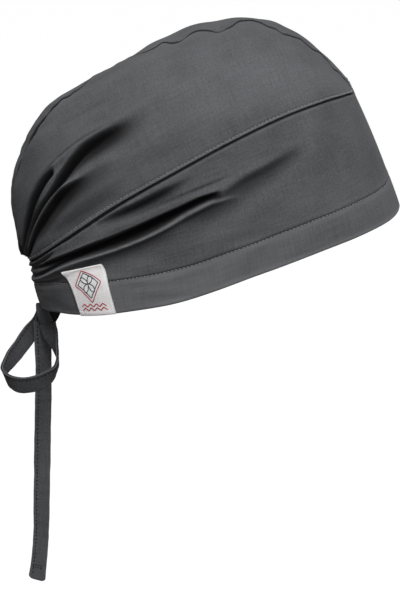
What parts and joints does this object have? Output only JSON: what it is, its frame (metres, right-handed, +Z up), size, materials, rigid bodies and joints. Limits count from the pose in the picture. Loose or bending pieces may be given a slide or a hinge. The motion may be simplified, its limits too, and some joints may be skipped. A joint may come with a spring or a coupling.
{
  "type": "scrub cap with tie back",
  "caption": "Soft cloth cap with a two-part crown, a wide forehead band, a gathered back and a narrow tie in a half bow.",
  "frame": {"origin": "centre of the head opening, in the plane of the hem, with the cap in the tilt it has on a head", "axes": "+X to the forehead, +Y to the wearer's left, +Z up"},
  "size_m": [0.2272, 0.1532, 0.3337],
  "materials": {
    "crown_right": "fine cotton weave, charcoal grey",
    "crown_left": "fine cotton weave, charcoal grey",
    "band": "fine cotton weave, charcoal grey, topstitched",
    "label": "white woven satin with a small thread ornament",
    "knot": "fine cotton weave, charcoal grey",
    "tie_loop": "folded cotton strip, charcoal grey, edge stitched",
    "tie_tail": "folded cotton strip, charcoal grey, edge stitched"
  },
  "bodies": {
    "root": {"crown_right": "crown_right", "crown_left": "crown_left", "band": "band", "label": "label", "knot": "knot", "tie_loop": "tie_loop", "tie_tail": "tie_tail"}
  },
  "joints": []
}
